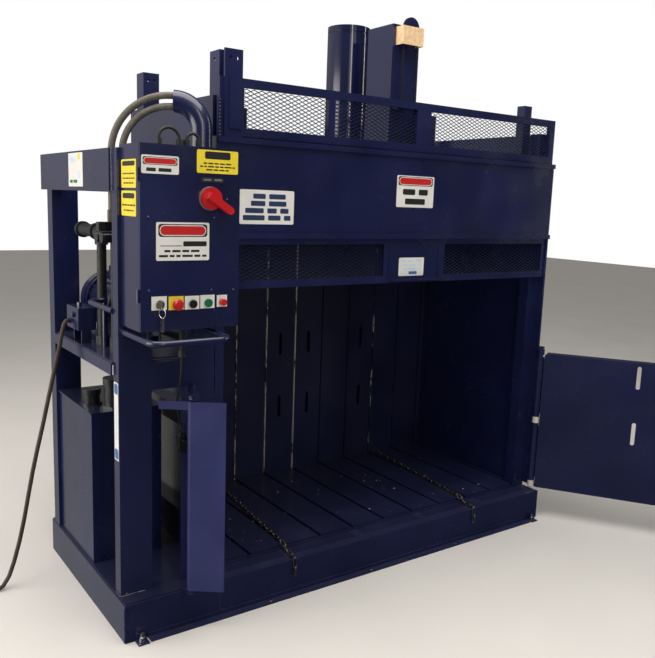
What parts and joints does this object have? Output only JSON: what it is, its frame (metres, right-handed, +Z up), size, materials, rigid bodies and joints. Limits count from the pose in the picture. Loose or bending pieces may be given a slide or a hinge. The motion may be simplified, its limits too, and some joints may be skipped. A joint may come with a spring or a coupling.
{
  "type": "recycling baler",
  "caption": "Floor-standing low-profile downstroke baler with a swing door, a sliding mesh feed gate and a side power unit with control box.",
  "frame": {"origin": "middle of the underside of the base channels, on the floor; the swung-out door, toe angle, clips and power cord reach past the base", "axes": "+X to the right along the feed opening, -Y to the front, where the operator stands, +Z up"},
  "size_m": [3.8025, 2.6037, 2.52],
  "materials": {
    "navy_paint": "gloss, brushed on over welds",
    "latch_paint": "gloss",
    "bare_steel": "galvanised and bare steel",
    "chrome_rod": "polished",
    "chain_steel": "dull, rusty",
    "brass_guard": "yellow passivated sheet",
    "black_iron": "satin black",
    "black_rubber": "matt",
    "hose_rubber": "dusty olive grey",
    "cord_rubber": "matt brown black",
    "grey_plastic": "satin",
    "red_plastic": "gloss",
    "green_plastic": "gloss",
    "black_plastic": "gloss",
    "white_plate": "satin",
    "zinc": "zinc plated"
  },
  "bodies": {
    "frame": {"base_frame": "navy_paint", "toe_angle": "navy_paint", "anchor_bolts": "zinc", "bay_deck": "navy_paint", "chamber_floor": "navy_paint", "back_wall": "navy_paint", "left_wall": "navy_paint", "right_wall": "navy_paint", "front_posts": "navy_paint", "bay_front_post": "navy_paint", "bay_middle_post": "navy_paint", "bay_rear_post": "navy_paint", "top_beams": "navy_paint", "motor_shelf": "navy_paint", "front_panel": "navy_paint", "rear_panel": "navy_paint", "gate_guides": "navy_paint", "guide_posts": "navy_paint", "press_beams": "navy_paint", "cylinder_barrel": "navy_paint", "gate_mast": "navy_paint", "mast_chains": "black_iron", "chain_cover": "brass_guard", "door_hinge": "bare_steel", "latch_bracket": "navy_paint", "control_box": "navy_paint", "control_gear": "zinc", "box_guard": "navy_paint", "motor_guard": "navy_paint", "motor": "navy_paint", "pump": "black_iron", "valve_block": "black_iron", "junction_box": "navy_paint", "oil_tank": "navy_paint", "tank_fittings": "black_iron", "oil_hoses": "black_rubber", "pressure_hoses": "hose_rubber", "hose_elbow": "navy_paint", "box_conduits": "black_rubber", "interlock_switch": "black_plastic", "interlock_cable": "black_rubber", "ejector_chains": "chain_steel", "power_cord": "cord_rubber"},
    "press": {"platen": "navy_paint", "piston_rod": "chrome_rod"},
    "gate": {"feed_gate": "navy_paint", "gate_mesh": "navy_paint"},
    "weight": {"counterweight": "black_iron"},
    "sheave": {"chain_sheave": "navy_paint"},
    "door": {"chamber_door": "navy_paint"},
    "latch": {"latch_plate": "latch_paint"},
    "box_lid": {"box_door": "navy_paint", "legend_plates": "white_plate", "main_switch": "grey_plastic"},
    "handle": {"switch_handle": "red_plastic"},
    "key": {"key_switch": "zinc"},
    "estop": {"estop_button": "red_plastic"},
    "black_push": {"black_button": "black_plastic"},
    "green_push": {"green_button": "green_plastic"},
    "red_push": {"lamp_button": "red_plastic"}
  },
  "joints": [
    {"name": "press_slide", "type": "slide", "parent": "frame", "child": "press", "axis": [0, 0, -1], "range_m": [0, 0.64]},
    {"name": "gate_slide", "type": "slide", "parent": "frame", "child": "gate", "axis": [0, 0, -1], "range_m": [0, 0.405]},
    {"name": "weight_slide", "type": "slide", "parent": "frame", "child": "weight", "axis": [0, 0, 1], "range_m": [0, 0.405]},
    {"name": "sheave_turn", "type": "hinge", "parent": "frame", "child": "sheave", "pos_m": [0.2, -0.346, 2.454], "axis": [0, -1, 0], "range_deg": [0, 611]},
    {"name": "door_swing", "type": "hinge", "parent": "frame", "child": "door", "pos_m": [1.166, -0.429, 0.54], "axis": [0, 0, 1], "range_deg": [-124.2, 30]},
    {"name": "latch_swing", "type": "hinge", "parent": "frame", "child": "latch", "pos_m": [-0.918, -0.505, 0.5], "axis": [0, 0, 1], "range_deg": [-20, 36]},
    {"name": "box_lid_swing", "type": "hinge", "parent": "frame", "child": "box_lid", "pos_m": [-1.157, -0.579, 1.535], "axis": [0, 0, -1], "range_deg": [0, 120]},
    {"name": "handle_turn", "type": "hinge", "parent": "box_lid", "child": "handle", "pos_m": [-0.894, -0.587, 1.679], "axis": [0, 1, 0], "range_deg": [-30, 60]},
    {"name": "key_turn", "type": "hinge", "parent": "box_lid", "child": "key", "pos_m": [-1.084, -0.587, 1.311], "axis": [0, 1, 0], "range_deg": [0, 60]},
    {"name": "estop_push", "type": "slide", "parent": "box_lid", "child": "estop", "axis": [0, 1, 0], "range_m": [0, 0.005], "stiffness_N_per_m": 1500, "springref_m": -0.002},
    {"name": "black_push_in", "type": "slide", "parent": "box_lid", "child": "black_push", "axis": [0, 1, 0], "range_m": [0, 0.005], "stiffness_N_per_m": 1500, "springref_m": -0.002},
    {"name": "green_push_in", "type": "slide", "parent": "box_lid", "child": "green_push", "axis": [0, 1, 0], "range_m": [0, 0.005], "stiffness_N_per_m": 1500, "springref_m": -0.002},
    {"name": "red_push_in", "type": "slide", "parent": "box_lid", "child": "red_push", "axis": [0, 1, 0], "range_m": [0, 0.005], "stiffness_N_per_m": 1500, "springref_m": -0.002}
  ],
  "couplings": [
    {"joint": "weight_slide", "follows": "gate_slide", "ratio": 1},
    {"joint": "sheave_turn", "follows": "gate_slide", "rad_per_m": 26.316}
  ]
}
